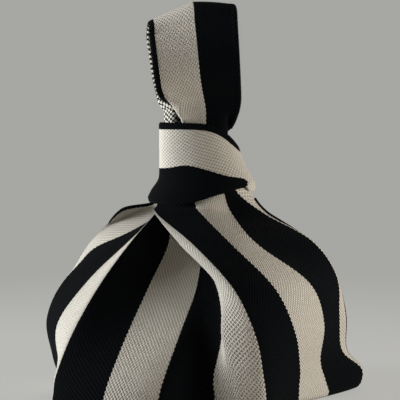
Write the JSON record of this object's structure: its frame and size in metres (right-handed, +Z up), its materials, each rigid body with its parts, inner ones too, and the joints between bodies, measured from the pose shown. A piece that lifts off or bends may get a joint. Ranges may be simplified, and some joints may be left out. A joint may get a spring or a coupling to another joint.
{
  "type": "knotted knit handbag",
  "caption": "Striped knit knot bag that stands on its base, with its long handle pulled up as a loop through the short handle wrapped round its neck.",
  "frame": {"origin": "on the floor under the middle of the bag's outer box", "axes": "+Z up along the handles, -Y towards the front face, +X to the right seen from the front"},
  "size_m": [0.225, 0.1515, 0.2777],
  "materials": {
    "striped_knit": "close double-faced knit in wide black and cream stripes, matt with a soft sheen",
    "black_trim": "narrow black knitted edging, matt",
    "seam_yarn": "linked black yarn, matt"
  },
  "bodies": {
    "bag": {"front_panel": "striped_knit", "back_panel": "striped_knit", "base_panel": "striped_knit", "base_seam": "seam_yarn", "left_side_seam": "seam_yarn", "right_side_seam": "seam_yarn", "left_armhole_trim": "black_trim", "right_armhole_trim": "black_trim", "short_handle_front_root": "striped_knit", "short_handle_back_root": "striped_knit"},
    "short_handle": {"short_handle_front_band": "striped_knit", "short_handle_back_band": "striped_knit", "short_handle_seam": "seam_yarn", "short_handle_upper_trim": "black_trim", "short_handle_lower_trim": "black_trim"},
    "long_handle": {"long_handle_front_shank": "striped_knit", "long_handle_back_shank": "striped_knit"},
    "long_loop": {"long_handle_front_strap": "striped_knit", "long_handle_back_strap": "striped_knit", "long_handle_top_seam": "seam_yarn", "long_handle_left_trim": "black_trim", "long_handle_right_trim": "black_trim"}
  },
  "joints": [
    {"name": "collar_slide", "type": "slide", "parent": "bag", "child": "short_handle", "axis": [0, 0, 1], "range_m": [0, 0.008]},
    {"name": "handle_pull", "type": "slide", "parent": "bag", "child": "long_handle", "axis": [0, 0, 1], "range_m": [0, 0.025]},
    {"name": "loop_bend", "type": "hinge", "parent": "long_handle", "child": "long_loop", "pos_m": [0, 0, 0.2071], "axis": [1, 0, 0], "range_deg": [-50, 50]}
  ]
}
